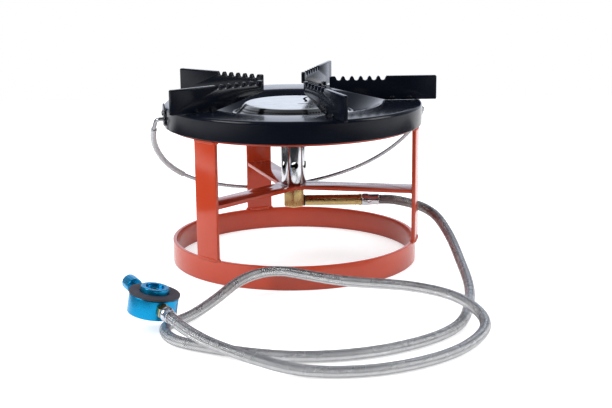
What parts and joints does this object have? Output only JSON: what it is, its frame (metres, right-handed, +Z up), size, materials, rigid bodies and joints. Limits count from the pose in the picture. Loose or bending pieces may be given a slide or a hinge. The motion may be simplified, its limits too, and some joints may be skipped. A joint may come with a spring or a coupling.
{
  "type": "outdoor gas cooking burner",
  "caption": "Low outdoor gas burner on a welded ring stand, with a drip pan, notched pot supports, a bail handle and a braided hose ending in a screw-on cylinder valve.",
  "frame": {"origin": "on the ground, on the axis of the stand's rings and the burner", "axes": "+Z up along the burner's axis, +X right towards the gas inlet, +Y back towards the leg that the handle leans on"},
  "size_m": [0.345, 0.5353, 0.2007],
  "materials": {
    "orange_paint": "gloss enamel over welded mild steel",
    "black_enamel": "gloss black heatproof enamel",
    "polished_stainless": "polished stainless steel",
    "brass": "machined brass",
    "plated_steel": "bright zinc plate",
    "steel_braid": "woven stainless wire",
    "blue_anodised": "blue anodised aluminium",
    "black_rubber": "moulded black rubber",
    "clear_vinyl": "clear soft vinyl"
  },
  "bodies": {
    "main": {"base_ring": "orange_paint", "upper_ring": "orange_paint", "leg_right": "orange_paint", "leg_back": "orange_paint", "leg_front_left": "orange_paint", "burner_bracket": "orange_paint", "drip_pan": "black_enamel", "pot_support_1": "black_enamel", "pot_support_2": "black_enamel", "pot_support_3": "black_enamel", "pot_support_4": "black_enamel", "pot_support_5": "black_enamel", "mixing_tube": "polished_stainless", "burner_bowl": "polished_stainless", "burner_cap": "polished_stainless", "brass_elbow": "brass", "gas_jet": "brass", "brass_inlet_tube": "brass", "hose_ferrule_burner": "plated_steel", "hose": "steel_braid", "hose_ferrule_valve": "plated_steel", "valve_nut": "brass", "valve_body": "blue_anodised", "valve_gasket": "black_rubber", "valve_boss": "blue_anodised", "valve_pin": "brass", "valve_stem": "plated_steel", "handle_tab_left": "plated_steel", "handle_tab_right": "plated_steel", "tab_rivet_left": "plated_steel", "tab_rivet_right": "plated_steel"},
    "handle": {"handle_wire": "plated_steel", "handle_sleeve": "clear_vinyl"},
    "knob": {"valve_knob": "blue_anodised"}
  },
  "joints": [
    {"name": "handle_swing", "type": "hinge", "parent": "main", "child": "handle", "pos_m": [0, 0, 0.161], "axis": [0.9755, 0.2199, 0], "range_deg": [0, 155]},
    {"name": "knob_turn", "type": "hinge", "parent": "main", "child": "knob", "pos_m": [-0.15181, -0.21102, 0.02968], "axis": [-0.4782, 0.8746, 0.08], "range_deg": [0, 540]}
  ]
}
